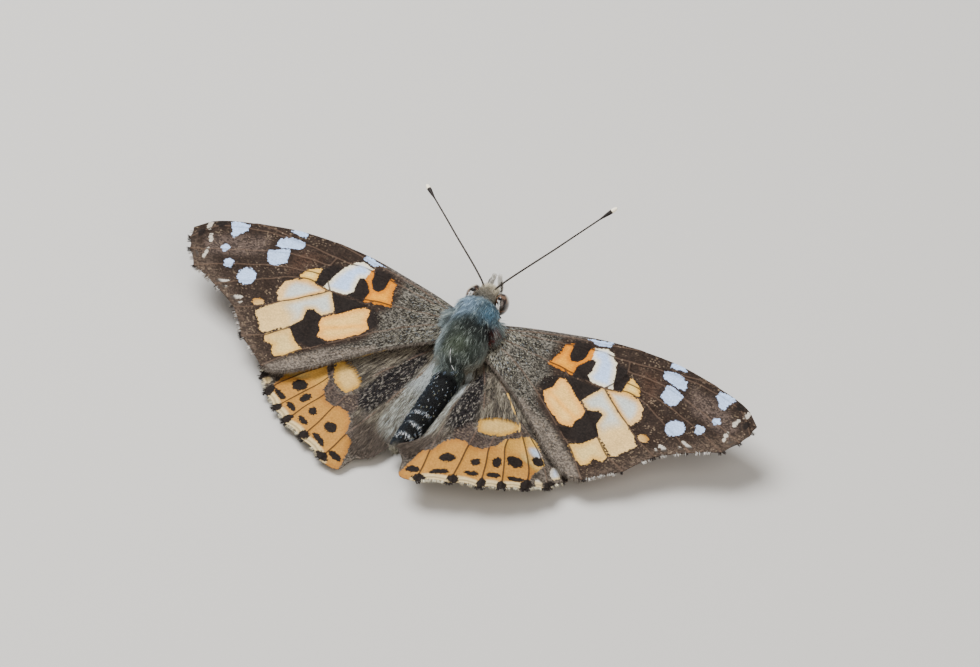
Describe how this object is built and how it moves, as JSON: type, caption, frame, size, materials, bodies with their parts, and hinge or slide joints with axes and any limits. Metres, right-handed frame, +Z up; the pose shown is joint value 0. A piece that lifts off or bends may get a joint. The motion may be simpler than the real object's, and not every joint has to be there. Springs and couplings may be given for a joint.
{
  "type": "painted lady butterfly",
  "caption": "Life-size still model of a painted lady butterfly at rest on the ground with its four patterned wings spread.",
  "frame": {"origin": "on the floor, under the centre of the whole butterfly's bounding box", "axes": "+Z up, +Y forwards to the head, +X to the butterfly's own right, along the wing span"},
  "size_m": [0.0666, 0.0366, 0.0168],
  "materials": {
    "body_fur": "dense grey-green to blue-black hair",
    "cuticle": "thin brown cuticle, faintly glossy",
    "eye": "smooth compound eye with fine facets",
    "antenna": "ringed dark scales, club with a pale tip",
    "palp": "short grey and white bristly hair",
    "wing_scales": "dusty overlapping scales in orange, black and white",
    "leg": "short pale scales on thin brown cuticle"
  },
  "bodies": {
    "root": {"thorax": "body_fur", "abdomen": "body_fur", "head": "body_fur", "proboscis": "cuticle", "eye_left": "eye", "eye_right": "eye", "antenna_left": "antenna", "antenna_right": "antenna", "palp_left": "palp", "palp_right": "palp", "forewing_left": "wing_scales", "forewing_right": "wing_scales", "hindwing_left": "wing_scales", "hindwing_right": "wing_scales", "foreleg_left": "leg", "foreleg_right": "leg", "leg_mid_left": "leg", "leg_mid_right": "leg", "leg_hind_left": "leg", "leg_hind_right": "leg"}
  },
  "joints": []
}
